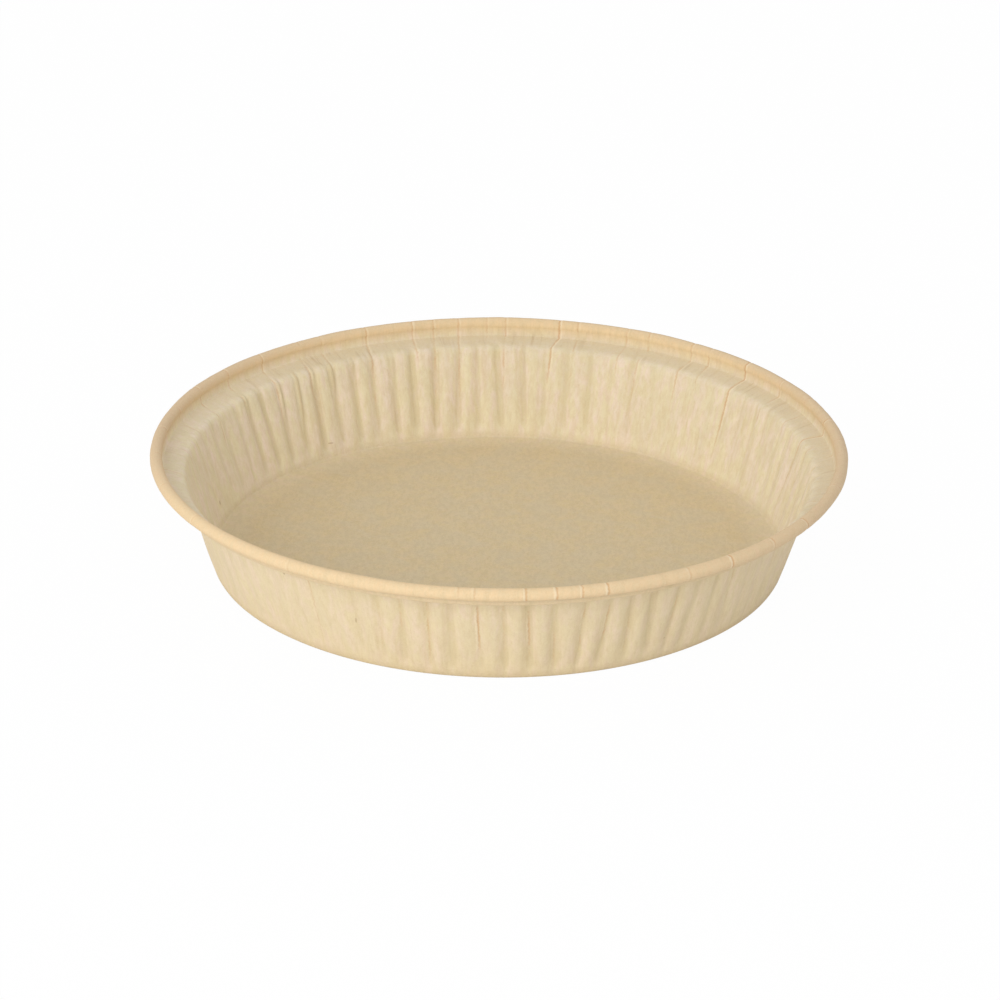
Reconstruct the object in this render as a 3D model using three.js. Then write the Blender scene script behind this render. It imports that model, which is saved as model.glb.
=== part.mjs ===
// A round paper baking mold, pressed from one disc of stiff brown paper.
// The paper runs from the flat floor round a sharp corner into a fluted wall, over a rounded shoulder
// onto a gently rising ledge, up a short steep strip, and over into a rolled rim with a free edge.
// Millimetres, +Z up, with the origin at the middle of the underside.
import * as THREE from "three";

// Overall sizes
const rimDiameter = 185; // across the outside of the rolled rim
const height = 31.7; // from the table to the top of the rolled rim
const paper = 0.5; // thickness of the pressed paper

// Rolled rim and ledge
const rollDiameter = 3.3; // outside of the roll
const rollJoin = THREE.MathUtils.degToRad(40); // how far below its middle the roll starts, inside
const rollEnd = THREE.MathUtils.degToRad(180); // how far past its top the paper is rolled
const stripLean = 0.35; // how much nearer to the axis the strip under the roll starts than it ends
const ledgeDepth = 5; // from the top of the roll down to the ledge's outer corner
const ledgeWidth = 5.7; // across, between the ledge's two corners
const ledgeRise = 1.7; // how much higher the ledge's outer corner is

// Floor and the bends between the straight stretches
const floorDiameter = 152.6; // across the floor, to where it would meet the wall without a bend
const floorBend = 0.9; // bend radius between floor and wall
const shoulderBend = 2; // bend radius between wall and ledge
const ledgeBend = 0.7; // bend radius between ledge and strip

// Flutes pressed into the wall
const fluteCount = 80;
const fluteDepth = 0.85; // from crest to valley
const fluteFull = 0.2; // share of the wall below the place where the flutes reach their full depth
const fluteEnd = 0.88; // share of the wall below the place where they start to fade
const fluteAtLedge = 0.55; // share of the depth that is left where the wall turns into the ledge

// Facets
const columnsPerFlute = 4;
const fluteColumns = fluteCount * columnsPerFlute;
const floorColumns = fluteColumns / 2;
const rimColumns = 80;
const floorBendSteps = 2;
const shoulderSteps = 2;
const ledgeBendSteps = 2;
const rollInnerSteps = 4;
const rollOuterSteps = 6;

const front = -Math.PI / 2; // a valley of the outer face lies here

// A row is one ring of the section: a point on the middle of the paper's thickness, the heading along
// the section there (0 is away from the axis, a quarter turn is up), the share of the flutes' depth
// that it has, and how many columns go around it.
function rowAt(r, z, heading, fluteShare, columns) {
  return { r, z, heading, fluteShare, columns };
}

function headingOf(from, to) {
  return Math.atan2(to.y - from.y, to.x - from.x);
}

// The rows of a bend between two straight stretches, from one tangent point to the other.
function bendRows(before, corner, after, radius, steps, columns) {
  const headingIn = headingOf(before, corner);
  const turn = headingOf(corner, after) - headingIn;
  const side = Math.sign(turn);
  const tangent = radius * Math.tan(Math.abs(turn) / 2);
  const centre = new THREE.Vector2(
    corner.x - tangent * Math.cos(headingIn) - side * radius * Math.sin(headingIn),
    corner.y - tangent * Math.sin(headingIn) + side * radius * Math.cos(headingIn),
  );
  return arcRows(centre, radius, headingIn, turn, steps, columns);
}

// The rows of an arc that starts with a given heading and turns by a given angle.
function arcRows(centre, radius, headingIn, turn, steps, columns) {
  const side = Math.sign(turn);
  return Array.from({ length: steps + 1 }, (_, k) => {
    const heading = headingIn + (turn * k) / steps;
    const r = centre.x + side * radius * Math.sin(heading);
    const z = centre.y - side * radius * Math.cos(heading);
    return rowAt(r, z, heading, 0, columns);
  });
}

// The rows of the wall between its two bends, where the flutes grow and fade.
function wallRows(bottom, top) {
  const heading = headingOf(bottom, top);
  return [fluteFull, fluteEnd].map((share) => {
    const point = bottom.clone().lerp(top, share);
    return rowAt(point.x, point.y, heading, 1, fluteColumns);
  });
}

// The bend from the wall to the ledge, whose first row still has some of the flutes' depth.
function shoulderRows(floorEdge, wallTop, ledgeOuter) {
  const rows = bendRows(floorEdge, wallTop, ledgeOuter, shoulderBend, shoulderSteps, floorColumns);
  rows[0].fluteShare = fluteAtLedge;
  rows[0].columns = fluteColumns;
  return rows;
}

// The roll, from the ledge's side over its top and outside to the free edge underneath.
function rollRows(centre, radius) {
  const headingIn = Math.PI / 2 + rollJoin;
  const inner = arcRows(centre, radius, headingIn, -headingIn, rollInnerSteps, rimColumns);
  const outer = arcRows(centre, radius, 0, -rollEnd, rollOuterSteps, rimColumns);
  return [...inner, ...outer.slice(1)];
}

// The whole section, from the edge of the flat floor to the free edge of the roll.
function sectionRows() {
  const rollRadius = (rollDiameter - paper) / 2;
  const rollCentre = new THREE.Vector2((rimDiameter - rollDiameter) / 2, height - rollDiameter / 2);
  const rollStart = new THREE.Vector2(
    rollCentre.x - rollRadius * Math.cos(rollJoin),
    rollCentre.y - rollRadius * Math.sin(rollJoin),
  );
  const ledgeOuter = new THREE.Vector2(rollStart.x - stripLean, height - ledgeDepth);
  const wallTop = new THREE.Vector2(ledgeOuter.x - ledgeWidth, ledgeOuter.y - ledgeRise);
  const floorEdge = new THREE.Vector2(floorDiameter / 2, paper / 2);
  const axis = new THREE.Vector2(0, paper / 2);

  return [
    ...bendRows(axis, floorEdge, wallTop, floorBend, floorBendSteps, floorColumns),
    ...wallRows(floorEdge, wallTop),
    ...shoulderRows(floorEdge, wallTop, ledgeOuter),
    ...bendRows(wallTop, ledgeOuter, rollStart, ledgeBend, ledgeBendSteps, rimColumns),
    ...rollRows(rollCentre, rollRadius),
  ];
}

// How far the flutes push the paper out at an angle, from -1 in a valley to 1 on a crest.
function fluteWave(angle) {
  return -Math.cos(fluteCount * (angle - front));
}

// Collects the vertices and triangles of the closed shell.
class Shell {
  constructor() {
    this.positions = [];
    this.triangles = [];
  }

  addVertex(x, y, z) {
    this.positions.push(x, y, z);
    return this.positions.length / 3 - 1;
  }

  // One ring of vertices on a face of the paper: side is 1 on the outside and -1 on the inside.
  addRing(row, side) {
    const first = this.positions.length / 3;
    for (let column = 0; column < row.columns; column++) {
      const angle = (2 * Math.PI * column) / row.columns;
      const shift = (side * paper) / 2 + (row.fluteShare * fluteDepth * fluteWave(angle)) / 2;
      const r = row.r + shift * Math.sin(row.heading);
      const z = row.z - shift * Math.cos(row.heading);
      this.addVertex(r * Math.cos(angle), r * Math.sin(angle), z);
    }
    return { first, columns: row.columns };
  }

  addTriangle(a, b, c, inside) {
    this.triangles.push(...(inside ? [a, c, b] : [a, b, c]));
  }

  // Joins two rings around the axis, whatever their numbers of columns.
  stitch(lower, upper, inside) {
    let i = 0;
    let j = 0;
    while (i < lower.columns || j < upper.columns) {
      const a = lower.first + (i % lower.columns);
      const b = upper.first + (j % upper.columns);
      if ((i + 0.5) / lower.columns < (j + 0.5) / upper.columns) {
        i += 1;
        this.addTriangle(a, lower.first + (i % lower.columns), b, inside);
      } else {
        j += 1;
        this.addTriangle(a, upper.first + (j % upper.columns), b, inside);
      }
    }
  }

  // Closes the floor from its first ring to the axis.
  fan(ring, z, inside) {
    const middle = this.addVertex(0, 0, z);
    for (let column = 0; column < ring.columns; column++) {
      const next = (column + 1) % ring.columns;
      this.addTriangle(middle, ring.first + next, ring.first + column, inside);
    }
  }

  toGeometry() {
    const geometry = new THREE.BufferGeometry();
    geometry.setAttribute("position", new THREE.Float32BufferAttribute(this.positions, 3));
    geometry.setIndex(this.triangles);
    geometry.computeVertexNormals();
    return geometry;
  }
}

// One sheet of paper: both faces follow the same section, and the free edge joins them.
function moldGeometry() {
  const rows = sectionRows();
  const shell = new Shell();
  const outside = rows.map((row) => shell.addRing(row, 1));
  const inside = rows.map((row) => shell.addRing(row, -1));
  shell.fan(outside[0], 0, false);
  shell.fan(inside[0], paper, true);
  for (let k = 1; k < rows.length; k++) {
    shell.stitch(outside[k - 1], outside[k], false);
    shell.stitch(inside[k - 1], inside[k], true);
  }
  shell.stitch(outside.at(-1), inside.at(-1), false);
  return shell.toGeometry();
}

const bakingPaper = new THREE.MeshStandardMaterial({
  color: 0xd9bd93,
  roughness: 0.85,
  metalness: 0,
});

const mold = new THREE.Mesh(moldGeometry(), bakingPaper);
mold.name = "baking_mold";

const group = new THREE.Group();
group.add(mold);

export default group;
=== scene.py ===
"""A round paper baking mold, as it looks: one sheet of stiff brown paper with irregular flutes, creases
across its ledge and rolled rim, and a mottled, slightly fibrous face. Metres, +Z up."""
import math
from collections import namedtuple

import bpy
import numpy as np
from mathutils import Matrix, Vector


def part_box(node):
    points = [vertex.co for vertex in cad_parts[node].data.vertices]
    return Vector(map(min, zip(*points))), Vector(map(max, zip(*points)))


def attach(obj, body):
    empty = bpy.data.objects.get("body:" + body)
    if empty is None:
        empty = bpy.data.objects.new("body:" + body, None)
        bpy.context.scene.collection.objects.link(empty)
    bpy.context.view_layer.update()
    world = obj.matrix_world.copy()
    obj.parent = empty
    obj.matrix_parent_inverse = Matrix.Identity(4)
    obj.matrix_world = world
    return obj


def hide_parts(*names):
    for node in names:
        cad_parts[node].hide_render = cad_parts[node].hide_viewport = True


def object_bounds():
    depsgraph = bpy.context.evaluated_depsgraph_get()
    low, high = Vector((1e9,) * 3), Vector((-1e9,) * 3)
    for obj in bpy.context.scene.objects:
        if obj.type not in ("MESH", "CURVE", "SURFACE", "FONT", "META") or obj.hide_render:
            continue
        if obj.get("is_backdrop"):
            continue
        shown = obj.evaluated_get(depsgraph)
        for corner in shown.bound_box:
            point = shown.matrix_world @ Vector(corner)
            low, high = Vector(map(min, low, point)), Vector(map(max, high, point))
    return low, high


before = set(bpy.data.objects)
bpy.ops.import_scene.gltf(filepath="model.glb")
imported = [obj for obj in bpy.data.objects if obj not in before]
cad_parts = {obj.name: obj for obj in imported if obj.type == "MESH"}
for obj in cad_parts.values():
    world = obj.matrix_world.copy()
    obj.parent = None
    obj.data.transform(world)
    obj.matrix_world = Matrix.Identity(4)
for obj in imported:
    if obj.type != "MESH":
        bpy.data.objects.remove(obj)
CAD_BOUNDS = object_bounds()

NODE = "baking_mold"
MM = 0.001

# The section of the paper, in step with the solid that this piece replaces
LOW, HIGH = (Vector(corner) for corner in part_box(NODE))
RIM_RADIUS = (HIGH.x - LOW.x) / 2
HEIGHT = HIGH.z - LOW.z
PAPER = 0.5 * MM
ROLL_DIAMETER = 3.3 * MM
ROLL_JOIN = math.radians(40)  # how far below its middle the roll starts, on the side of the ledge
ROLL_END = math.radians(180)  # how far past its top the paper is rolled
STRIP_LEAN = 0.35 * MM  # how much nearer to the axis the strip under the roll starts than it ends
LEDGE_DEPTH = 5 * MM  # from the top of the roll down to the ledge's outer corner
LEDGE_WIDTH = 5.7 * MM
LEDGE_RISE = 1.7 * MM
FLOOR_RADIUS = 76.3 * MM
FLOOR_BEND = 0.9 * MM
SHOULDER_BEND = 2 * MM
LEDGE_BEND = 0.7 * MM

# Flutes of the wall
FLUTE_COUNT = 80
FLUTE_DEPTH = 0.85 * MM
FLUTE_FULL = 0.2  # share of the wall's height where the flutes reach their full depth
FLUTE_END = 0.9  # share of the wall's height where they start to fade
FLUTE_AT_LEDGE = 1.0  # share of the depth that is left at the top of the wall
FLUTE_ON_LEDGE = 2.0 * MM  # how far the pinched ends of the flutes run onto the ledge
SHOULDER_LOSS = 0.4  # share of the depth that is lost over the shoulder
PINCH_LOW, PINCH_HIGH = 0.14, 0.3  # how much narrower than their ridges the valleys are
FLUTE_JITTER, FLUTE_LEAN = 0.09, 0.3  # turns that a flute may be off its place, and lean over the wall
ENDS_VARY, MIDDLE_VARIES = 0.5, 0.3  # how much single flutes differ in depth at their ends and middle
FRONT = math.radians(270)

# Small pleats that split the tops of the inner valleys
PLEAT_RISE = 1.0 * MM
PLEAT_START, PLEAT_START_VARIES = 0.6, 0.3  # shares of the wall's height
PLEAT_GROWS = 0.35  # share of the wall's height over which a pleat reaches its full size
PLEAT_SIZE = 0.35  # share of the full size that a pleat has on average
PLEAT_WIDTH = 0.1  # turns of the flute wave

# Around the mold, as degrees and the share of the flutes' depth there: the pressing is uneven
FLUTE_REGIONS = [
    (0, 0.5), (30, 0.5), (60, 0.45), (72, 0.6), (85, 0.95), (100, 1.2), (140, 0.9), (160, 0.4),
    (200, 0.2), (232, 0.3), (250, 0.95), (285, 1.2), (303, 1.1), (313, 0.7), (335, 0.4),
]

# Around the mold, as degrees and how many flutes further back the valleys lie than even spacing puts them
FLUTE_DRIFT = [
    (0, 0.60), (25, 0.66), (50, 0.69), (60, 0.66), (75, 0.48), (91, 0.55), (103, 0.64), (127, 0.71),
    (145, 0.81), (170, 0.85), (205, 0.74), (238, 0.70), (250, 0.78), (266, 0.70), (292, 0.73), (322, 0.70),
]

# Creases that start at the roll and cross the ledge, seen from above: degrees at the roll, strength,
# degrees that they move over on the ledge, and how far down the wall they run as a share of it
RIM_CREASES = [
    (2, 0.4, 0.5, 0.0), (11, 1.0, 1.0, 0.9), (20.5, 0.5, 0.6, 0.2), (29.6, 0.6, 0.0, 0.3),
    (39.5, 1.0, 0.2, 0.9), (48.5, 0.6, -0.2, 0.1), (52.5, 0.7, 0.4, 0.5), (61.5, 0.6, 0.5, 0.6),
    (66, 0.6, 0.3, 0.2), (75.5, 0.6, 0.0, 0.3), (79, 1.0, 0.9, 0.4), (89, 0.7, 0.2, 0.5),
    (92.5, 0.4, 0.2, 0.1), (97.8, 0.7, 0.3, 0.7), (102.5, 0.6, 0.4, 0.3), (106.5, 0.7, 0.1, 0.2),
    (115.5, 0.7, 0.5, 0.6), (124.8, 0.5, 0.2, 0.2), (129.5, 0.6, 0.6, 0.3), (138.5, 0.7, 0.4, 0.5),
    (147.8, 0.5, 0.5, 0.3), (157, 0.6, 0.6, 0.5), (166, 0.4, 0.3, 0.1), (175, 0.5, 0.8, 0.2),
    (186, 0.5, 0.4, 0.1), (199, 0.4, 0.0, 0.0), (213, 0.25, 0.0, 0.0), (236, 0.3, 0.0, 0.0),
    (264, 0.45, 0.0, 0.0), (266.5, 0.45, 0.0, 0.0), (274.3, 0.8, 0.0, 0.0), (279, 0.9, 0.0, 0.0),
    (283, 0.8, 0.0, 0.0), (287, 0.9, 0.0, 0.0), (296.5, 0.6, 0.0, 0.0), (300.8, 0.6, 0.0, 0.0),
    (309, 1.0, 0.0, 0.0), (318.5, 0.7, 0.0, 0.0), (328, 0.8, 0.0, 0.1), (343, 0.6, 0.4, 0.1),
    (352, 0.5, 0.4, 0.1),
]

# Creases down the outer valleys: degrees, strength, and the heights between which they run
OUTER_CREASES = [
    (248, 0.3, 0.3, 0.9), (252.3, 0.4, 0.5, 1.0), (257, 0.6, 0.2, 0.95), (266.2, 1.0, 0.35, 1.0),
    (275.4, 0.8, 0.3, 1.0), (279.8, 0.4, 0.1, 0.7), (284.5, 0.6, 0.25, 0.95), (289, 0.7, 0.3, 1.0),
    (293.2, 0.4, 0.2, 0.8), (302.5, 0.5, 0.3, 0.9), (316.5, 0.4, 0.5, 1.0), (90, 0.6, 0.3, 1.0),
    (108, 0.8, 0.4, 1.0), (144, 0.5, 0.2, 0.9), (189, 0.7, 0.3, 1.0), (9, 0.6, 0.3, 0.9),
    (45, 0.7, 0.4, 1.0),
]

# Around the mold, as degrees and how much painted shade darkens the roll there
ROLL_SHADE = [
    (0, 0.9), (35, 0.6), (60, 0.25), (90, 0.1), (112, 0.3), (140, 0.7), (175, 1.0), (190, 0.6),
    (207, 0.0), (275, 0.0), (300, 0.25), (322, 0.65), (345, 0.9),
]

# The same for the painted shade on the outer part of the roll, which is darker all along the back
ROLL_EDGE_SHADE = [(0, 1.0), (60, 1.2), (90, 1.2), (150, 1.2), (185, 0.7), (207, 0.0), (275, 0.0), (345, 0.9)]

# Around the mold, as degrees and how much painted highlight lightens the join under the roll there
JOIN_HIGHLIGHT = [
    (0, 0.2), (30, 0.45), (45, 0.95), (90, 0.75), (105, 0.3), (120, 0.6), (160, 0.4), (180, 0.0), (345, 0.0),
]

# Around the mold, as degrees and how much of the ledge's grey reaches the strip under the roll
STRIP_GREY = [(0, 0.2), (30, 0.45), (60, 0.6), (95, 0.5), (115, 0.2)]

# Around the mold, as degrees and how grey and wrinkled the ledge is there
LEDGE_GREY = [(0, 1.0), (130, 1.0), (165, 0.4), (200, 0.4), (235, 1.0)]

CREASE_WIDTH = 0.4 * MM  # of the dent that a crease makes
CREASE_DEPTH = 0.1 * MM
LINE_FULL, LINE_REACH = 0.9, 1.8  # millimetres from a crease where its thin line starts and ends to fade
ON_LEDGE, ON_SHOULDER = 0.75, 0.9  # share of its strength that a crease of the rim has there
RUN_DOWN_WALL = 1.2  # how far such a crease runs on over the wall, as a share of its run on the ledge
OUTER_FADE = 1.6  # how fast a crease of the outer face fades towards its ends
SAMPLES_PER_FLUTE = 8  # for finding the valleys

# Slow unevenness of the sheet and fine puckers of its gathered outer part, in millimetres
FLOOR_SWELL, LEDGE_SWELL, ROLL_SWELL, WALL_DENT = 0.10, 0.09, 0.08, 0.12
LEDGE_PUCKER, LEDGE_FINE_PUCKER, ROLL_PUCKER, WALL_PUCKER = 0.05, 0.025, 0.02, 0.04

# Where the colours of the zones start and end along the section, as shares of each zone
CORNER_FLOOR = 0.6  # how much of the floor's colour the corner has
SHOULDER_LEDGE = 0.7  # how much of the ledge's colour the shoulder has at its top
ROLL_AT_JOIN, ROLL_FULL = 0.5, 0.18  # share of the roll's colour at its join, and where it is all there
EDGE_START, EDGE_WIDTH = 0.38, 0.1  # of the painted shade on the outer part of the roll
JOIN_START, JOIN_WIDTH = 0.12, 0.16  # of the fading of the painted highlight on the join
OUTER_HOLLOW, SHADE_UNDER_ROLL = 0.6, 0.5  # how much of the roll's colour, and of painted shade, the outside has under the roll
OUTER_SHADE = 0.8  # how much of the wall's flutes shows as shade on the outside of the ledge

# Fineness of the mesh
COLUMNS_PER_FLUTE = 18
FINE_COLUMNS = FLUTE_COUNT * COLUMNS_PER_FLUTE
HALF_COLUMNS = FINE_COLUMNS // 2
COARSE_COLUMNS = FINE_COLUMNS // 4
FLOOR_FINE = 0.7  # share of the floor's radius beyond which it has more columns
FLOOR_STEPS = 9
CORNER_STEPS = 3
WALL_STEPS = 13
SHOULDER_STEPS = 4
LEDGE_STEPS = 5
HOLLOW_STEPS = 3
ROLL_STEPS = 16

SHARP_EDGE = math.radians(60)

SEED = 7

Row = namedtuple("Row", "r z heading zone along")


def ease(share):
    """A smooth step from 0 to 1."""
    share = np.clip(share, 0, 1)
    return share * share * (3 - 2 * share)


class Wobble:
    """A smooth random curve around the mold, from -1 to 1, with a given number of knots."""

    def __init__(self, random, knots):
        self.values = random.uniform(-1, 1, knots)

    def __call__(self, angle):
        place = np.mod(angle / (2 * math.pi), 1) * len(self.values)
        knot = np.floor(place).astype(int) % len(self.values)
        after = (knot + 1) % len(self.values)
        share = ease(place - np.floor(place))
        return self.values[knot] * (1 - share) + self.values[after] * share


def heading_of(start, end):
    return math.atan2(end.y - start.y, end.x - start.x)


def arc_rows(centre, radius, heading_in, turn, steps, zone):
    side = math.copysign(1, turn)
    rows = []
    for k in range(steps + 1):
        heading = heading_in + turn * k / steps
        r = centre.x + side * radius * math.sin(heading)
        z = centre.y - side * radius * math.cos(heading)
        rows.append(Row(r, z, heading, zone, k / steps))
    return rows


def bend_rows(before, corner, after, radius, steps, zone):
    """The rows of a bend between two straight stretches, from one tangent point to the other."""
    heading = heading_of(before, corner)
    turn = heading_of(corner, after) - heading
    side = math.copysign(1, turn)
    tangent = radius * math.tan(abs(turn) / 2)
    along = Vector((math.cos(heading), math.sin(heading)))
    across = Vector((-math.sin(heading), math.cos(heading)))
    centre = corner - along * tangent + across * side * radius
    return arc_rows(centre, radius, heading, turn, steps, zone)


def rows_between(first, last, steps, zone):
    """The rows inside a straight stretch, without its two ends."""
    rows = []
    for k in range(1, steps):
        share = k / steps
        r = first.r + (last.r - first.r) * share
        z = first.z + (last.z - first.z) * share
        rows.append(Row(r, z, first.heading, zone, share))
    return rows


def section_rows():
    """The middle of the paper's thickness, from near the axis to the free edge of the roll."""
    roll_radius = (ROLL_DIAMETER - PAPER) / 2
    roll_centre = Vector((RIM_RADIUS - ROLL_DIAMETER / 2, HEIGHT - ROLL_DIAMETER / 2))
    roll_start = roll_centre - Vector((math.cos(ROLL_JOIN), math.sin(ROLL_JOIN))) * roll_radius
    ledge_outer = Vector((roll_start.x - STRIP_LEAN, HEIGHT - LEDGE_DEPTH))
    wall_top = ledge_outer - Vector((LEDGE_WIDTH, LEDGE_RISE))
    floor_edge = Vector((FLOOR_RADIUS, PAPER / 2))
    axis = Vector((0, PAPER / 2))
    roll_heading = math.pi / 2 + ROLL_JOIN

    floor_bend = bend_rows(axis, floor_edge, wall_top, FLOOR_BEND, CORNER_STEPS, "corner")
    shoulder = bend_rows(floor_edge, wall_top, ledge_outer, SHOULDER_BEND, SHOULDER_STEPS, "shoulder")
    hollow = bend_rows(wall_top, ledge_outer, roll_start, LEDGE_BEND, HOLLOW_STEPS, "hollow")
    roll_turn = -roll_heading - ROLL_END
    roll = arc_rows(roll_centre, roll_radius, roll_heading, roll_turn, ROLL_STEPS, "roll")
    middle = Row(0, PAPER / 2, 0, "floor", 0)
    return (
        rows_between(middle, floor_bend[0], FLOOR_STEPS, "floor")
        + floor_bend
        + rows_between(floor_bend[-1], shoulder[0], WALL_STEPS, "wall")
        + shoulder
        + rows_between(shoulder[-1], hollow[0], LEDGE_STEPS, "ledge")
        + hollow
        + roll
    )


ROWS = section_rows()
WALL_TOP = [row for row in ROWS if row.zone == "wall"][-1]
RANDOM = np.random.default_rng(SEED)
JITTER = Wobble(RANDOM, FLUTE_COUNT)
LEAN = Wobble(RANDOM, FLUTE_COUNT // 2)
DEPTH_LOW = Wobble(RANDOM, FLUTE_COUNT)
DEPTH_HIGH = Wobble(RANDOM, FLUTE_COUNT)
DEPTH_MIDDLE = Wobble(RANDOM, FLUTE_COUNT)
PLEATS = Wobble(RANDOM, FLUTE_COUNT)
PLEAT_REACH = Wobble(RANDOM, FLUTE_COUNT)
FLOOR_WAVE = Wobble(RANDOM, 7)
LEDGE_WAVE = Wobble(RANDOM, 36)
ROLL_WAVE = Wobble(RANDOM, 48)
PUCKER = Wobble(RANDOM, 260)
PUCKER_FINE = Wobble(RANDOM, 520)
DENT_MIDDLE = Wobble(RANDOM, 130)
DENT_ENDS = Wobble(RANDOM, 110)
VALLEY_LINES = RANDOM.uniform(-0.5, 0.6, (2, FLUTE_COUNT))  # strengths of the lines, none below zero
VALLEY_REACH = RANDOM.uniform(0.2, 0.9, (2, FLUTE_COUNT))  # how far down the wall they run


def flute_share(row):
    """How much of the flutes' depth a row has."""
    if row.zone == "wall":
        grow = ease(row.along / FLUTE_FULL)
        fade = ease((row.along - FLUTE_END) / (1 - FLUTE_END))
        return grow * (1 - (1 - FLUTE_AT_LEDGE) * fade)
    if row.zone == "shoulder":
        return FLUTE_AT_LEDGE * (1 - SHOULDER_LOSS * row.along)
    if row.zone == "ledge":
        left = 1 - row.along * LEDGE_WIDTH / FLUTE_ON_LEDGE
        return FLUTE_AT_LEDGE * (1 - SHOULDER_LOSS) * float(ease(left))
    return 0.0


def wall_height(row):
    """The share of the wall's height that a row has reached."""
    return {"floor": 0.0, "corner": 0.0, "wall": row.along}.get(row.zone, 1.0)


def between(stations, angle):
    """The value at an angle of a quantity that is listed by degrees around the mold."""
    degrees, values = np.array(stations, float).T
    return np.interp(np.degrees(np.mod(angle, 2 * math.pi)), degrees, values, period=360)


def flute_phase(angle, height):
    """Turns of the flute wave: a whole number in the middle of an outer valley."""
    turns = FLUTE_COUNT * (angle - FRONT) / (2 * math.pi) + between(FLUTE_DRIFT, angle)
    return turns + FLUTE_JITTER * JITTER(angle) + FLUTE_LEAN * LEAN(angle) * (height - 0.5)


def flute_shift(angle, row, side):
    """How far the flutes push a face of the paper outwards: on both faces the valleys are narrower."""
    share = flute_share(row)
    if share == 0:
        return np.zeros_like(angle)
    height = wall_height(row)
    turn = 2 * math.pi * flute_phase(angle, height)
    pinch = PINCH_LOW + (PINCH_HIGH - PINCH_LOW) * float(ease(height * 2 - 1))
    wave = -np.cos(turn) - side * pinch * np.cos(2 * turn)
    uneven = DEPTH_LOW(angle) * (1 - height) + DEPTH_HIGH(angle) * height
    middle = DEPTH_MIDDLE(angle) * math.sin(math.pi * height)
    varied = 1 + ENDS_VARY * uneven + MIDDLE_VARIES * middle
    return share * (FLUTE_DEPTH / 2 * between(FLUTE_REGIONS, angle) * varied) * wave


def pleat(angle, row):
    """How far the pleats in the tops of the inner valleys stand out towards the axis."""
    height = wall_height(row)
    start = PLEAT_START + PLEAT_START_VARIES * PLEAT_REACH(angle)
    grow = ease((height - start) / PLEAT_GROWS) * min(flute_share(row), 1)
    from_valley = np.mod(flute_phase(angle, height), 1) - 0.5
    size = np.clip(PLEAT_SIZE + PLEATS(angle), 0, 1) * between(FLUTE_REGIONS, angle)
    return PLEAT_RISE * grow * size * np.exp(-((from_valley / PLEAT_WIDTH) ** 2))


def around(angle, centre_degrees):
    """The signed angle from a place on the rim, in radians."""
    return np.mod(angle - math.radians(centre_degrees) + math.pi, 2 * math.pi) - math.pi


def rim_places(row):
    """Where each crease that crosses the ledge lies in a row, in degrees, and its strength there."""
    for degrees, strength, run, reach in RIM_CREASES:
        if row.zone in ("roll", "hollow"):
            yield degrees, strength
        elif row.zone == "ledge":
            yield degrees + run * (1 - row.along), ON_LEDGE * strength
        elif row.zone == "shoulder":
            yield degrees + run, ON_SHOULDER * strength
        elif row.zone == "wall" and 1 - row.along < reach:
            below = 1 - row.along
            yield degrees + run * (1 + RUN_DOWN_WALL * below), strength * (1 - (below / reach) ** 2)


def outer_places(row):
    """The same for the creases that run down the outer valleys."""
    if row.zone not in ("wall", "shoulder"):
        return
    height = wall_height(row)
    for degrees, strength, low, high in OUTER_CREASES:
        if low <= height <= high:
            fade = 1 - (abs(height - (low + high) / 2) / (high - low) * OUTER_FADE) ** 2
            turns = flute_phase(np.array([math.radians(degrees)]), height)[0]
            yield degrees - (turns - round(turns)) * 360 / FLUTE_COUNT, strength * max(fade, 0)


def valley_places(row, side):
    """Where the valleys of a face lie in a row, in degrees, and the strength of the line in each."""
    height = wall_height(row)
    half = 0.5 if side < 0 else 0.0
    angle = np.linspace(0, 2 * math.pi, SAMPLES_PER_FLUTE * FLUTE_COUNT)
    phase = flute_phase(angle, height)
    first = math.ceil(phase[0] - half)
    for number in range(first, first + FLUTE_COUNT):
        which = (int(side > 0), number % FLUTE_COUNT)
        fade = 1 - ((1 - height) / VALLEY_REACH[which]) ** 2
        if VALLEY_LINES[which] > 0 and fade > 0:
            yield math.degrees(np.interp(number + half, phase, angle)), VALLEY_LINES[which] * fade


def crease_places(row, side):
    """Every crease of a face in a row; a valley has no line of its own where a longer crease runs."""
    places = list(rim_places(row) if side < 0 else outer_places(row))
    if row.zone not in ("wall", "shoulder"):
        return places
    listed = [math.radians(place) for place, _ in places]
    clear = 2 * LINE_REACH * MM / row.r
    for place, strength in valley_places(row, side):
        if all(abs(around(other, place)) > clear for other in listed):
            places.append((place, strength))
    return places


def creases(angle, row, side):
    """The dent that creases make in a row, and the strength and distance of the nearest thin line."""
    dent = np.zeros_like(angle)
    strongest = np.zeros_like(angle)
    distance = np.zeros_like(angle)
    for place, strength in crease_places(row, side):
        gap = around(angle, place) * row.r
        dent += strength * np.exp(-((gap / CREASE_WIDTH) ** 2))
        fade = 1 - ease((np.abs(gap) / MM - LINE_FULL) / (LINE_REACH - LINE_FULL))
        nearer = strength * fade > strongest
        strongest = np.where(nearer, strength * fade, strongest)
        distance = np.where(nearer, gap / MM, distance)
    return np.clip(dent, 0, 1), strongest, distance


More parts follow.
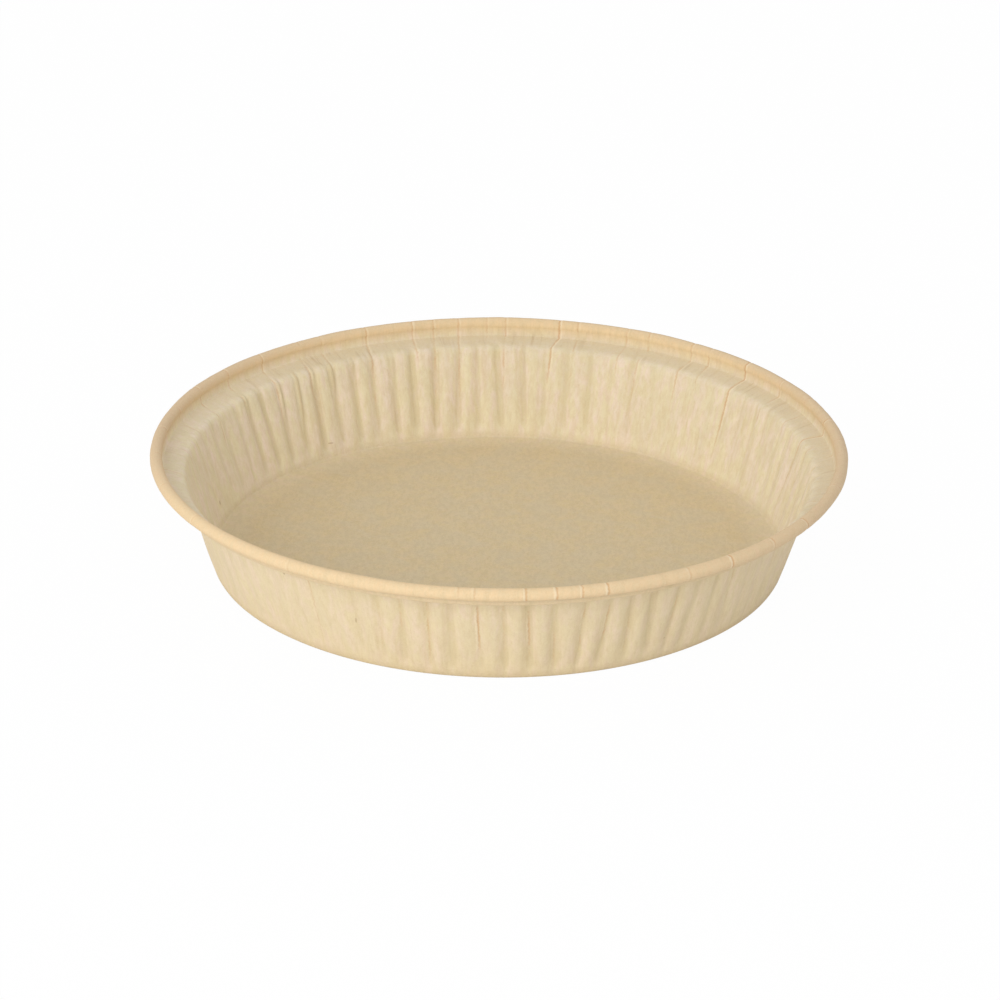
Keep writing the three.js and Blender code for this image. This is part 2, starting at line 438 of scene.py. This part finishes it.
def swell(angle, row):
    """Slow unevenness of the pressed sheet, and the fine puckers of its gathered outer part."""
    if row.zone == "floor":
        return FLOOR_SWELL * MM * math.sin(math.pi * row.along) * FLOOR_WAVE(angle)
    if row.zone in ("ledge", "shoulder"):
        puckers = LEDGE_PUCKER * PUCKER(angle) + LEDGE_FINE_PUCKER * PUCKER_FINE(angle)
        return (LEDGE_SWELL * LEDGE_WAVE(angle) + puckers) * MM
    if row.zone in ("hollow", "roll"):
        return (ROLL_SWELL * ROLL_WAVE(angle) + ROLL_PUCKER * PUCKER(angle)) * MM
    if row.zone == "wall":
        bulge = math.sin(math.pi * row.along) * DENT_MIDDLE(angle)
        bulge = bulge + math.sin(2 * math.pi * row.along) * DENT_ENDS(angle)
        return (WALL_DENT * bulge + WALL_PUCKER * PUCKER(angle) * row.along) * MM
    return np.zeros_like(angle)


def surface(row, angle, side):
    """The points of one ring on a face of the paper, and what the material needs to know of its folds."""
    dent, strength, distance = creases(angle, row, side)
    flutes = flute_shift(angle, row, side)
    shift = side * PAPER / 2 + flutes + swell(angle, row) - side * CREASE_DEPTH * dent
    if side < 0:
        shift = shift - pleat(angle, row)
    r = row.r + shift * math.sin(row.heading)
    z = row.z - shift * math.cos(row.heading)
    points = np.stack([r * np.cos(angle), r * np.sin(angle), np.broadcast_to(z, angle.shape)], -1)
    # On the outside of the ledge and strip the ridge value follows the wall's flutes, only for the painted
    # valley shade
    if side > 0 and row.zone in ("ledge", "hollow"):
        flutes = OUTER_SHADE * flute_shift(angle, WALL_TOP, side)
    ridge = 0.5 + side * flutes / FLUTE_DEPTH
    return points, np.stack([strength, ridge, distance, np.full_like(angle, side > 0)], -1)


def columns_of(row, side):
    """How many columns a ring has: many where it is seen and folded, fewer where it is plain."""
    if row.zone == "floor":
        return HALF_COLUMNS // 2 if row.along > FLOOR_FINE else COARSE_COLUMNS // 2
    if row.zone == "corner" or row.heading < -math.pi / 2:
        return HALF_COLUMNS
    if side > 0 and row.zone == "shoulder":
        return HALF_COLUMNS
    if side > 0 and row.zone != "wall":
        return COARSE_COLUMNS
    return FINE_COLUMNS


def zone_weights(row, angle, side):
    """How much of a floor, ledge and roll a row is, and how much painted shade it has, or below zero how much
    painted highlight.
    """
    one = np.ones_like(angle)
    floor = {"floor": 1.0, "corner": CORNER_FLOOR}.get(row.zone, 0.0)
    greyer = 1 - (1 - between(STRIP_GREY, angle)) * row.along
    ledge = {"ledge": 1.0, "hollow": greyer, "shoulder": SHOULDER_LEDGE * row.along}.get(row.zone, 0.0)
    roll, painted_shading = 0.0, 0 * one
    if row.zone == "roll":
        roll = ROLL_AT_JOIN + (1 - ROLL_AT_JOIN) * float(ease(row.along / ROLL_FULL))
        edge = float(ease((row.along - EDGE_START) / EDGE_WIDTH))
        join = 1 - float(ease((row.along - JOIN_START) / JOIN_WIDTH))
        # painted shade on the roll, and darker painted shade on its outer part
        body_shade = between(ROLL_SHADE, angle)
        painted_shading = body_shade * (1 - edge) * roll
        painted_shading = painted_shading + np.maximum(body_shade, between(ROLL_EDGE_SHADE, angle)) * edge
        # painted highlight that lightens the shaded join under the roll
        painted_shading = painted_shading - between(JOIN_HIGHLIGHT, angle) * join
    elif side > 0:
        ledge, roll = 0.0, OUTER_HOLLOW * (row.zone == "hollow")
        # painted shade on the outside just under the roll
        painted_shading = painted_shading + SHADE_UNDER_ROLL * roll
    return np.stack([floor * one, ledge * between(LEDGE_GREY, angle), roll * one, painted_shading], -1)


class Shell:
    """Collects the vertices, faces and vertex values of the closed sheet."""

    def __init__(self):
        self.points = []
        self.faces = []
        self.zones = []
        self.folds = []
        self.count = 0

    def ring(self, row, side):
        columns = columns_of(row, side)
        angle = np.arange(columns) * 2 * math.pi / columns
        points, folds = surface(row, angle, side)
        self.points.append(points)
        self.folds.append(folds)
        self.zones.append(zone_weights(row, angle, side))
        first = self.count
        self.count += columns
        return first, columns

    def pole(self, z):
        self.points.append(np.array([[0.0, 0.0, z]]))
        self.zones.append(np.array([[1.0, 0.0, 0.0, 0.0]]))
        self.folds.append(np.array([[0.0, 0.5, 0.0, float(z == 0)]]))
        self.count += 1
        return self.count - 1

    def face(self, corners, inside):
        self.faces.append(corners[::-1] if inside else corners)

    def stitch(self, lower, upper, inside):
        """Joins two rings: quads where they have as many columns, triangles elsewhere."""
        (a, n), (b, m) = lower, upper
        if n == m:
            for k in range(n):
                after = (k + 1) % n
                self.face((a + k, a + after, b + after, b + k), inside)
            return
        i = j = 0
        while i < n or j < m:
            here, there = a + i % n, b + j % m
            if (i + 0.5) / n < (j + 0.5) / m:
                i += 1
                self.face((here, a + i % n, there), inside)
            else:
                j += 1
                self.face((here, b + j % m, there), inside)

    def fan(self, ring, pole, inside):
        first, columns = ring
        for k in range(columns):
            self.face((pole, first + (k + 1) % columns, first + k), inside)

    def mesh(self, name):
        mesh = bpy.data.meshes.new(name)
        mesh.from_pydata(np.concatenate(self.points).tolist(), [], self.faces)
        for label, values in (("zones", self.zones), ("folds", self.folds)):
            layer = mesh.color_attributes.new(label, "FLOAT_COLOR", "POINT")
            layer.data.foreach_set("color", np.concatenate(values).astype(np.float32).ravel())
        mesh.validate()
        mesh.shade_smooth()
        mesh.set_sharp_from_angle(angle=SHARP_EDGE)
        mesh.update()
        return mesh


def build_mold():
    shell = Shell()
    outside = [shell.ring(row, 1) for row in ROWS]
    inside = [shell.ring(row, -1) for row in ROWS]
    shell.fan(outside[0], shell.pole(0), False)
    shell.fan(inside[0], shell.pole(PAPER), True)
    for k in range(1, len(ROWS)):
        shell.stitch(outside[k - 1], outside[k], False)
        shell.stitch(inside[k - 1], inside[k], True)
    shell.stitch(outside[-1], inside[-1], False)
    mold = bpy.data.objects.new("pressed_paper_mold", shell.mesh("pressed_paper_mold"))
    bpy.context.scene.collection.objects.link(mold)
    return mold


def srgb(red, green, blue):
    """A colour written as 0 to 255 on a screen, as the linear colour that a node takes."""

    def linear(value):
        value /= 255
        return value / 12.92 if value <= 0.04045 else ((value + 0.055) / 1.055) ** 2.4

    return (linear(red), linear(green), linear(blue), 1)


# Colours of the paper
WALL_YELLOW = srgb(235, 223, 188)
WALL_PINK = srgb(241, 222, 205)
WALL_GREY = srgb(222, 211, 184)
BAND_COLOUR = srgb(225, 213, 176)
OUTSIDE_COLOUR = srgb(221, 196, 152)
FLOOR_WARM = srgb(205, 181, 134)
FLOOR_GREY = srgb(201, 182, 145)
MOTTLE_COLOUR = srgb(188, 169, 134)
LEDGE_COLOUR = srgb(213, 196, 164)
ROLL_COLOUR = srgb(233, 201, 155)
# painted shade of the roll and of the outside under it
PAINTED_SHADE_COLOUR = srgb(199, 171, 143)
# painted highlight for the join under the roll
JOIN_HIGHLIGHT_COLOUR = srgb(250, 227, 184)
STREAK_COLOUR = srgb(206, 182, 138)
# painted shade in the valleys of the flutes
VALLEY_SHADE_COLOUR = srgb(196, 178, 130)
BLOTCH_COLOUR = srgb(218, 198, 158)
WRINKLE_COLOUR = srgb(192, 168, 130)
# painted highlight on the lip beside each crease
LIP_HIGHLIGHT_COLOUR = srgb(252, 236, 206)
LINE_COLOUR = srgb(204, 152, 98)
GRAIN_COLOUR = srgb(250, 238, 214)
MARK_COLOUR = srgb(158, 122, 78)

# Small dark fibres in the paper: the middle of each, and how far it reaches each way, in millimetres
MARKS = [
    ((-47.9, 60.7, 4.6), (1.2, 0.6, 0.25)), ((-76.1, 15.9, 5.8), (0.6, 0.4, 0.8)),
    ((-53.5, -63.8, 22.6), (0.3, 0.4, 1.4)), ((-35.2, -72.2, 13.8), (0.3, 0.5, 1.3)),
    ((41.9, -66.1, 6.6), (0.35, 0.4, 0.3)), ((30, -18, 0), (1.1, 0.4, 0.3)), ((-24, 35, 0), (0.4, 0.9, 0.3)),
]

# On the left the paper is blotched, further right its colours run up and down the wall
BLOTCHED_TO, BLOTCHED_FROM = -68 * MM, -45 * MM

# A noise: its scale, detail, roughness and distortion, the values between which it rises from nothing
# to its full share, and how much faster it changes along x, y and z
EVENLY = (1, 1, 1)
Pattern = namedtuple("Pattern", "scale detail roughness distortion low high stretch", defaults=[EVENLY])
CLOUDS = Pattern(120, 3, 0.6, 0.4, 0.36, 0.66)
PATCHES = Pattern(380, 4, 0.62, 0.5, 0.4, 0.62, (1, 1, 0.25))
BLOTCHES = Pattern(760, 3, 0.6, 0, 0.36, 0.66, (1, 1, 0.45))
MOTTLE = Pattern(1000, 3, 0.6, 0, 0.38, 0.62, (1, 0.5, 1))
BANDS = Pattern(270, 4, 0.65, 0.3, 0.4, 0.62)
STREAKS = Pattern(480, 3, 0.6, 0, 0.5, 0.75)
FINE_STREAKS = Pattern(1050, 3, 0.62, 0.4, 0.45, 0.68, (1, 1, 0.14))
FIBRES = Pattern(900, 4, 0.7, 1.2, 0.5, 0.8, (1, 3.4, 1))
CROSS_FIBRES = FIBRES._replace(stretch=(3.4, 1, 1))
GRAINS = Pattern(2400, 3, 0.7, 0, 0.3, 0.7)
WRINKLES = Pattern(620, 3, 0.6, 0.3, 0.5, 0.68)
WRINKLED_PLACES = Pattern(95, 2, 0.55, 0, 0.4, 0.62)
CREASE_BREAKS = Pattern(330, 2, 0.55, 0, 0.34, 0.6)
CREASE_JAG = Pattern(1100, 2, 0.55, 0, 0, 1)

AROUND_DRIFT, AROUND_RISE = 0.06, 0.12  # how fast streaks change outwards and upwards, and not around
JAG_REACH = 0.7  # millimetres that a thin line wanders
UNBROKEN = (0.55, 0.8)  # strengths between which a crease stops being broken
LINE_EDGES = (0.06, 0.42)  # millimetres from its middle where a thin line ends
LIP_PLACE, LIP_EDGES = 0.55, (0.05, 0.42)  # the same for the painted highlight on the lip beside a line, and how far beside the line it is
VALLEY_SHADE_DEPTHS = (0.35, -0.05)  # places on the flute wave where the painted shade of a valley starts and is full
BLOTCHES_ON_WALL, LESS_ON_FLOOR = 0.35, 0.2
STREAKS_EVERYWHERE = 0.3  # share of the wall's streaks that the blotched left keeps
ROUGH_LEAST, ROUGH_VARIES = 0.74, 0.12
SPECULAR = 0.25
BUMP_STRENGTH, BUMP_HEIGHT = 0.35, 0.12 * MM


class Nodes:
    """Short calls for the nodes of one material."""

    def __init__(self, tree):
        self.tree = tree

    def add(self, kind, **inputs):
        node = self.tree.nodes.new("ShaderNode" + kind)
        for name, value in inputs.items():
            self.feed(node.inputs[name], value)
        return node

    def feed(self, socket, value):
        if isinstance(value, bpy.types.NodeSocket):
            self.tree.links.new(value, socket)
        else:
            socket.default_value = value

    def math(self, operation, first, second=0.0, clamp=False):
        node = self.tree.nodes.new("ShaderNodeMath")
        node.operation = operation
        node.use_clamp = clamp
        self.feed(node.inputs[0], first)
        self.feed(node.inputs[1], second)
        return node.outputs[0]

    def scale_add(self, value, factor, added):
        """value * factor + added"""
        result = self.math("MULTIPLY_ADD", value, factor)
        result.node.inputs[2].default_value = added
        return result

    def mix(self, share, first, second):
        node = self.tree.nodes.new("ShaderNodeMix")
        node.data_type = "RGBA"
        self.feed(node.inputs[0], share)
        self.feed(node.inputs[6], first)
        self.feed(node.inputs[7], second)
        return node.outputs[2]

    def noise(self, vector, pattern):
        """A pattern's noise as it is."""
        if pattern.stretch != EVENLY:
            vector = self.scaled(vector, *pattern.stretch)
        node = self.add("TexNoise", Vector=vector, Scale=pattern.scale, Detail=pattern.detail)
        node.inputs["Roughness"].default_value = pattern.roughness
        node.inputs["Distortion"].default_value = pattern.distortion
        return node.outputs["Fac"]

    def share(self, vector, pattern):
        """A pattern's noise as a share from 0 to 1."""
        return self.ramp(self.noise(vector, pattern), pattern.low, pattern.high)

    def ramp(self, value, low, high):
        """0 at low, 1 at high, smooth between and level beyond."""
        node = self.tree.nodes.new("ShaderNodeMapRange")
        node.interpolation_type = "SMOOTHSTEP"
        self.feed(node.inputs["Value"], value)
        node.inputs["From Min"].default_value = low
        node.inputs["From Max"].default_value = high
        return node.outputs["Result"]

    def four_values(self, attribute):
        node = self.tree.nodes.new("ShaderNodeAttribute")
        node.attribute_name = attribute
        split = self.tree.nodes.new("ShaderNodeSeparateColor")
        self.tree.links.new(node.outputs["Color"], split.inputs[0])
        return (*split.outputs[:3], node.outputs["Alpha"])

    def vector(self, operation, first, second=(0, 0, 0)):
        node = self.tree.nodes.new("ShaderNodeVectorMath")
        node.operation = operation
        self.feed(node.inputs[0], first)
        self.feed(node.inputs[1], second)
        return node.outputs["Value" if operation == "LENGTH" else "Vector"]

    def scaled(self, vector, x, y, z):
        return self.vector("MULTIPLY", vector, (x, y, z))


def section_streaks(nodes, position):
    """A vector that changes quickly around the mold and slowly along its section."""
    outwards = nodes.vector("NORMALIZE", nodes.scaled(position, 1, 1, 0))
    circle = nodes.scaled(outwards, RIM_RADIUS, RIM_RADIUS, 0)
    drift = nodes.scaled(position, AROUND_DRIFT, AROUND_DRIFT, AROUND_RISE)
    return nodes.vector("ADD", circle, drift)


def crease_lines(nodes, position, strength, distance):
    """Thin, slightly jagged lines along the creases, and the painted highlight on the lip beside each: both
    from 0 to 1.
    """
    jag = nodes.math("SUBTRACT", nodes.noise(position, CREASE_JAG), 0.5)
    away = nodes.math("ADD", distance, nodes.math("MULTIPLY", jag, JAG_REACH))
    whole = nodes.math("MAXIMUM", nodes.share(position, CREASE_BREAKS), nodes.ramp(strength, *UNBROKEN))
    present = nodes.math("MULTIPLY", strength, whole)
    line = nodes.math("SUBTRACT", 1.0, nodes.ramp(nodes.math("ABSOLUTE", away), *LINE_EDGES))
    # where the painted highlight on the lip beside the line lies
    beside = nodes.math("ABSOLUTE", nodes.math("ADD", away, LIP_PLACE))
    lip = nodes.math("SUBTRACT", 1.0, nodes.ramp(beside, *LIP_EDGES))
    return nodes.math("MULTIPLY", line, present), nodes.math("MULTIPLY", lip, present)


def mark(nodes, position, centre, reach):
    """One small dark fibre: 1 in its middle and 0 outside."""
    middle = nodes.vector("SUBTRACT", position, [value * MM for value in centre])
    return nodes.ramp(nodes.vector("LENGTH", nodes.scaled(middle, *(1 / (r * MM) for r in reach))), 1.0, 0.5)


def wrinkles(nodes, streak_place, position, ledge):
    """Short fine wrinkles that cross the ledge in patches, from 0 to 1."""
    fine = nodes.share(streak_place, WRINKLES)
    where = nodes.share(position, WRINKLED_PLACES)
    return nodes.math("MULTIPLY", nodes.math("MULTIPLY", fine, where), ledge)


def paper_patterns(nodes, position):
    """What the paper's colour and relief are mixed from, by name. The raw ones are plain noises."""
    floor, ledge, roll, painted_shading = nodes.four_values("zones")
    strength, ridge, distance, outside = nodes.four_values("folds")
    split = nodes.tree.nodes.new("ShaderNodeSeparateXYZ")
    nodes.feed(split.inputs[0], position)
    streaked = nodes.ramp(split.outputs["X"], BLOTCHED_TO, BLOTCHED_FROM)
    streak_place = section_streaks(nodes, position)
    off_floor = nodes.math("SUBTRACT", 1.0, floor, clamp=True)
    line, lip = crease_lines(nodes, position, strength, distance)
    streaks = nodes.noise(streak_place, STREAKS)
    fibres, cross_fibres = nodes.noise(position, FIBRES), nodes.noise(position, CROSS_FIBRES)
    grains = nodes.noise(position, GRAINS)
    blotches = nodes.share(position, BLOTCHES)
    marked = 0.0
    for centre, reach in MARKS:
        marked = nodes.math("MAXIMUM", marked, mark(nodes, position, centre, reach))

    wall_streaks = nodes.math("MULTIPLY", nodes.ramp(streaks, STREAKS.low, STREAKS.high), off_floor)
    kept_streaks = nodes.scale_add(streaked, 1 - STREAKS_EVERYWHERE, STREAKS_EVERYWHERE)
    fine_streaks = nodes.math("MULTIPLY", nodes.share(position, FINE_STREAKS), off_floor)
    less = nodes.math("MULTIPLY", floor, LESS_ON_FLOOR)
    most_fibres = nodes.math("MAXIMUM", fibres, cross_fibres)
    return {
        "floor": floor,
        "ledge": ledge,
        "roll": roll,
        "painted_shading": painted_shading,
        "outside": outside,
        "patches": nodes.share(position, PATCHES),
        "bands": nodes.share(streak_place, BANDS),
        "clouds": nodes.share(position, CLOUDS),
        "streaks": nodes.math("MULTIPLY", wall_streaks, kept_streaks),
        "fine_streaks": nodes.math("MULTIPLY", fine_streaks, streaked),
        # painted shade in the valleys of each face
        "hollow": nodes.math("MULTIPLY", nodes.ramp(ridge, *VALLEY_SHADE_DEPTHS), off_floor),
        "blotches": nodes.math("MULTIPLY", blotches, nodes.math("SUBTRACT", BLOTCHES_ON_WALL, less)),
        "mottle": nodes.math("MULTIPLY", nodes.share(position, MOTTLE), floor),
        "wrinkle": wrinkles(nodes, streak_place, position, ledge),
        # painted highlight on the lip beside each crease
        "lip": lip,
        "line": line,
        "fibres": nodes.ramp(most_fibres, FIBRES.low, FIBRES.high),
        "grains": nodes.ramp(grains, GRAINS.low, GRAINS.high),
        "marked": marked,
        "raw_fibres": fibres,
        "raw_grains": grains,
        "raw_blotches": blotches,
        "raw_streaks": nodes.math("MULTIPLY", streaks, nodes.math("MULTIPLY", off_floor, streaked)),
    }


# The paper's colours in the order in which they lie on each other: the pattern, the most that it
# covers, and its colour. Painted shading below zero is the painted highlight on the join.
LAYERS = [
    ("bands", 0.4, BAND_COLOUR),
    ("clouds", 0.35, WALL_GREY),
    ("floor", 0.8, None),  # its own two colours
    ("ledge", 0.75, LEDGE_COLOUR),
    ("roll", 0.9, ROLL_COLOUR),
    # painted shade of the roll, and of the outside under it
    ("painted_shading", 0.6, PAINTED_SHADE_COLOUR),
    # painted highlight on the join under the roll
    ("painted_shading", -0.6, JOIN_HIGHLIGHT_COLOUR),
    ("outside", 0.4, OUTSIDE_COLOUR),
    ("streaks", 0.3, STREAK_COLOUR),
    ("fine_streaks", 0.25, STREAK_COLOUR),
    # painted shade in the valleys of the flutes
    ("hollow", 0.35, VALLEY_SHADE_COLOUR),
    ("blotches", 1.0, BLOTCH_COLOUR),
    ("mottle", 0.3, MOTTLE_COLOUR),
    ("wrinkle", 0.6, WRINKLE_COLOUR),
    # painted highlight on the lip beside each crease
    ("lip", 0.45, LIP_HIGHLIGHT_COLOUR),
    ("line", 0.6, LINE_COLOUR),
    ("fibres", 0.3, STREAK_COLOUR),
    ("grains", 0.15, GRAIN_COLOUR),
    ("marked", 0.42, MARK_COLOUR),
]

# The paper's relief: the pattern, and how high it stands or, below zero, how deep it lies
RELIEF = [
    ("raw_fibres", 0.5),
    ("raw_grains", 0.25),
    ("raw_streaks", 1.3),
    ("raw_blotches", 0.4),
    ("lip", 0.7),
    ("line", -1.0),
    ("wrinkle", -0.8),
]


def paper_material():
    material = bpy.data.materials.new("baking_paper")
    material.use_nodes = True
    shader = material.node_tree.nodes["Principled BSDF"]
    nodes = Nodes(material.node_tree)
    position = nodes.tree.nodes.new("ShaderNodeTexCoord").outputs["Object"]
    patterns = paper_patterns(nodes, position)

    colour = nodes.mix(patterns["patches"], WALL_YELLOW, WALL_PINK)
    floor_colour = nodes.mix(patterns["clouds"], FLOOR_WARM, FLOOR_GREY)
    for name, most, own in LAYERS:
        colour = nodes.mix(nodes.math("MULTIPLY", patterns[name], most), colour, own or floor_colour)
    nodes.feed(shader.inputs["Base Color"], colour)

    relief = 0.0
    for name, height in RELIEF:
        relief = nodes.math("ADD", relief, nodes.math("MULTIPLY", patterns[name], height))
    bump = nodes.add("Bump", Height=relief, Strength=BUMP_STRENGTH, Distance=BUMP_HEIGHT)
    nodes.feed(shader.inputs["Normal"], bump.outputs["Normal"])
    nodes.feed(shader.inputs["Roughness"], nodes.scale_add(patterns["raw_fibres"], ROUGH_VARIES, ROUGH_LEAST))
    shader.inputs["Specular IOR Level"].default_value = SPECULAR
    return material


# The photograph's view
VIEW_ELEVATION = math.radians(24.95)
VIEW_DISTANCE = 0.9285
VIEW_ROLL = math.radians(0.52)
VIEW_LENS = 124.0  # millimetres
SENSOR_WIDTH = 36  # millimetres
NEAREST = 0.01
AIM_RIGHT = 0.5 * MM
AIM_UP = 13.25 * MM


def make_camera():
    back = Vector((0, -math.cos(VIEW_ELEVATION), math.sin(VIEW_ELEVATION)))
    right = Vector((1, 0, 0))
    up = back.cross(right)
    rolled_right = right * math.cos(VIEW_ROLL) + up * math.sin(VIEW_ROLL)
    rolled_up = up * math.cos(VIEW_ROLL) - right * math.sin(VIEW_ROLL)
    place = back * VIEW_DISTANCE
    aim = rolled_right * AIM_RIGHT + rolled_up * AIM_UP
    view_back = (place - aim).normalized()
    view_right = rolled_up.cross(view_back).normalized()
    view_up = view_back.cross(view_right)
    data = bpy.data.cameras.new("camera")
    data.lens = VIEW_LENS
    data.sensor_width = SENSOR_WIDTH
    data.clip_start = NEAREST
    camera = bpy.data.objects.new("camera", data)
    rotation = Matrix((view_right, view_up, view_back)).transposed()
    camera.matrix_world = Matrix.Translation(place) @ rotation.to_4x4()
    bpy.context.scene.collection.objects.link(camera)
    bpy.context.scene.camera = camera


# Light: a broad soft key from the front left, and even light from all around
AMBIENT = 0.755
KEY_PLACE = Vector((-0.57, -1.05, 0.62))
KEY_SIZE = 0.85
KEY_POWER = 6.7

# The pale ground that the mold stands on
GROUND_HALF, GROUND_LEVEL = 3.0, -0.05 * MM
GROUND_GREY, GROUND_ROUGHNESS = 0.9, 0.9
GROUND_GLOW = 0.975  # share of it that is plain white to the camera; the rest shows the shadow


def make_key():
    data = bpy.data.lights.new("key", "AREA")
    data.shape = "DISK"
    data.size = KEY_SIZE
    data.energy = KEY_POWER
    key = bpy.data.objects.new("key", data)
    key.location = KEY_PLACE
    key.rotation_euler = (-KEY_PLACE).to_track_quat("-Z", "Y").to_euler()
    bpy.context.scene.collection.objects.link(key)


def seen_share(nodes):
    """1 for rays from the camera, or seen in a mirror or through glass, and 0 for light."""
    path = nodes.tree.nodes.new("ShaderNodeLightPath")
    seen = nodes.math("MAXIMUM", path.outputs["Is Camera Ray"], path.outputs["Is Glossy Ray"])
    return nodes.math("MAXIMUM", seen, path.outputs["Is Transmission Ray"])


def make_world():
    world = bpy.data.worlds.new("studio")
    world.use_nodes = True
    bpy.context.scene.world = world
    nodes = Nodes(world.node_tree)
    background = world.node_tree.nodes["Background"]
    background.inputs["Color"].default_value = (1, 1, 1, 1)
    nodes.feed(background.inputs["Strength"], nodes.scale_add(seen_share(nodes), 1 - AMBIENT, AMBIENT))


def make_floor():
    mesh = bpy.data.meshes.new("floor")
    sides = ((-1, -1), (1, -1), (1, 1), (-1, 1))
    corners = [(x * GROUND_HALF, y * GROUND_HALF, GROUND_LEVEL) for x, y in sides]
    mesh.from_pydata(corners, [], [(0, 1, 2, 3)])
    floor = bpy.data.objects.new("floor", mesh)
    bpy.context.scene.collection.objects.link(floor)
    material = bpy.data.materials.new("pale_floor")
    material.use_nodes = True
    nodes = Nodes(material.node_tree)
    shader = material.node_tree.nodes["Principled BSDF"]
    shader.inputs["Base Color"].default_value = (GROUND_GREY,) * 3 + (1,)
    shader.inputs["Roughness"].default_value = GROUND_ROUGHNESS
    glow = nodes.add("Emission", Color=(1, 1, 1, 1), Strength=1.0)
    mixed = nodes.tree.nodes.new("ShaderNodeMixShader")
    nodes.feed(mixed.inputs[0], nodes.math("MULTIPLY", seen_share(nodes), GROUND_GLOW))
    nodes.feed(mixed.inputs[1], shader.outputs[0])
    nodes.feed(mixed.inputs[2], glow.outputs[0])
    nodes.feed(material.node_tree.nodes["Material Output"].inputs["Surface"], mixed.outputs[0])
    mesh.materials.append(material)
    floor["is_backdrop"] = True


make_camera()
make_key()
make_world()
make_floor()

mold = build_mold()
mold.data.materials.append(paper_material())
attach(mold, "root")
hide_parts(NODE)

bpy.context.scene.view_settings.view_transform = "Standard"

boxes = {"cad": CAD_BOUNDS, "visual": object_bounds()}
{name: [list(corner) for corner in box] for name, box in boxes.items()}
